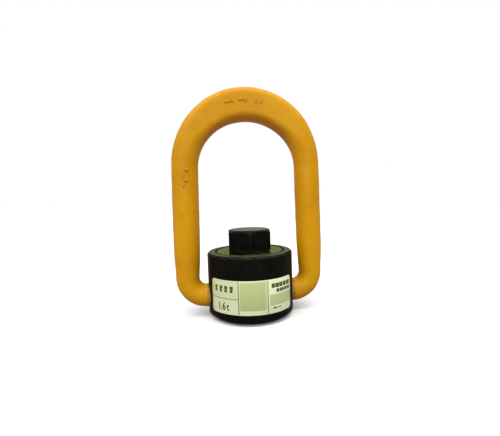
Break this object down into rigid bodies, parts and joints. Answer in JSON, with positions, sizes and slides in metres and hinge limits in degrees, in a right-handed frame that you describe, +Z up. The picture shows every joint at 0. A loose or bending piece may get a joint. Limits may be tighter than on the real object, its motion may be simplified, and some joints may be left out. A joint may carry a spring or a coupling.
{
  "type": "swivel hoist ring",
  "caption": "Swivel hoist ring: a forged bow link pivots in a round housing that turns on a ball bearing round a flanged bush, clamped by a hex-head lifting bolt.",
  "frame": {"origin": "centre of the load face, the plane that the bush foot clamps onto, on the bolt's axis", "axes": "+Z up the bolt towards the hex head and the link's crown, X along the link's trunnions, the rating label on the -Y side"},
  "size_m": [0.088, 0.0502, 0.1557],
  "materials": {
    "yellow_paint": "orange-yellow gloss paint over forged steel",
    "black_housing": "black satin, slightly worn at the rim",
    "black_bolt": "black oxide",
    "zinc_bush": "turned steel, dull olive passivated zinc",
    "bearing_steel": "polished bearing steel",
    "brass_cage": "satin",
    "spring_steel": "phosphated spring steel",
    "seal_rubber": "matt",
    "label_film": "pale green satin film"
  },
  "bodies": {
    "clamped_bush": {"flanged_bush": "zinc_bush", "upper_race": "bearing_steel", "base_washer": "zinc_bush", "retaining_circlip": "spring_steel"},
    "housing": {"swivel_housing": "black_housing", "lower_race": "bearing_steel", "dust_seal": "seal_rubber", "rating_label": "label_film"},
    "bearing": {"ball_cage": "brass_cage", "bearing_ball_01": "bearing_steel", "bearing_ball_02": "bearing_steel", "bearing_ball_03": "bearing_steel", "bearing_ball_04": "bearing_steel", "bearing_ball_05": "bearing_steel", "bearing_ball_06": "bearing_steel", "bearing_ball_07": "bearing_steel", "bearing_ball_08": "bearing_steel", "bearing_ball_09": "bearing_steel", "bearing_ball_10": "bearing_steel", "bearing_ball_11": "bearing_steel", "bearing_ball_12": "bearing_steel", "bearing_ball_13": "bearing_steel", "bearing_ball_14": "bearing_steel", "bearing_ball_15": "bearing_steel", "bearing_ball_16": "bearing_steel"},
    "link": {"load_link": "yellow_paint"},
    "bolt_ring": {"bolt_retaining_ring": "spring_steel"},
    "bolt": {"hex_bolt": "black_bolt"}
  },
  "joints": [
    {"name": "housing_swivel", "type": "hinge", "parent": "clamped_bush", "child": "housing", "pos_m": [0, 0, 0], "axis": [0, 0, 1], "continuous": true},
    {"name": "bearing_roll", "type": "hinge", "parent": "clamped_bush", "child": "bearing", "pos_m": [0, 0, 0], "axis": [0, 0, 1], "continuous": true},
    {"name": "link_pivot", "type": "hinge", "parent": "housing", "child": "link", "pos_m": [0, 0, 0.01185], "axis": [1, 0, 0], "range_deg": [-90, 90]},
    {"name": "bolt_lift", "type": "slide", "parent": "clamped_bush", "child": "bolt_ring", "axis": [0, 0, 1], "range_m": [0, 0.0033]},
    {"name": "bolt_turn", "type": "hinge", "parent": "bolt_ring", "child": "bolt", "pos_m": [0, 0, 0], "axis": [0, 0, 1], "continuous": true}
  ],
  "couplings": [
    {"joint": "bearing_roll", "follows": "housing_swivel", "ratio": 0.5}
  ]
}
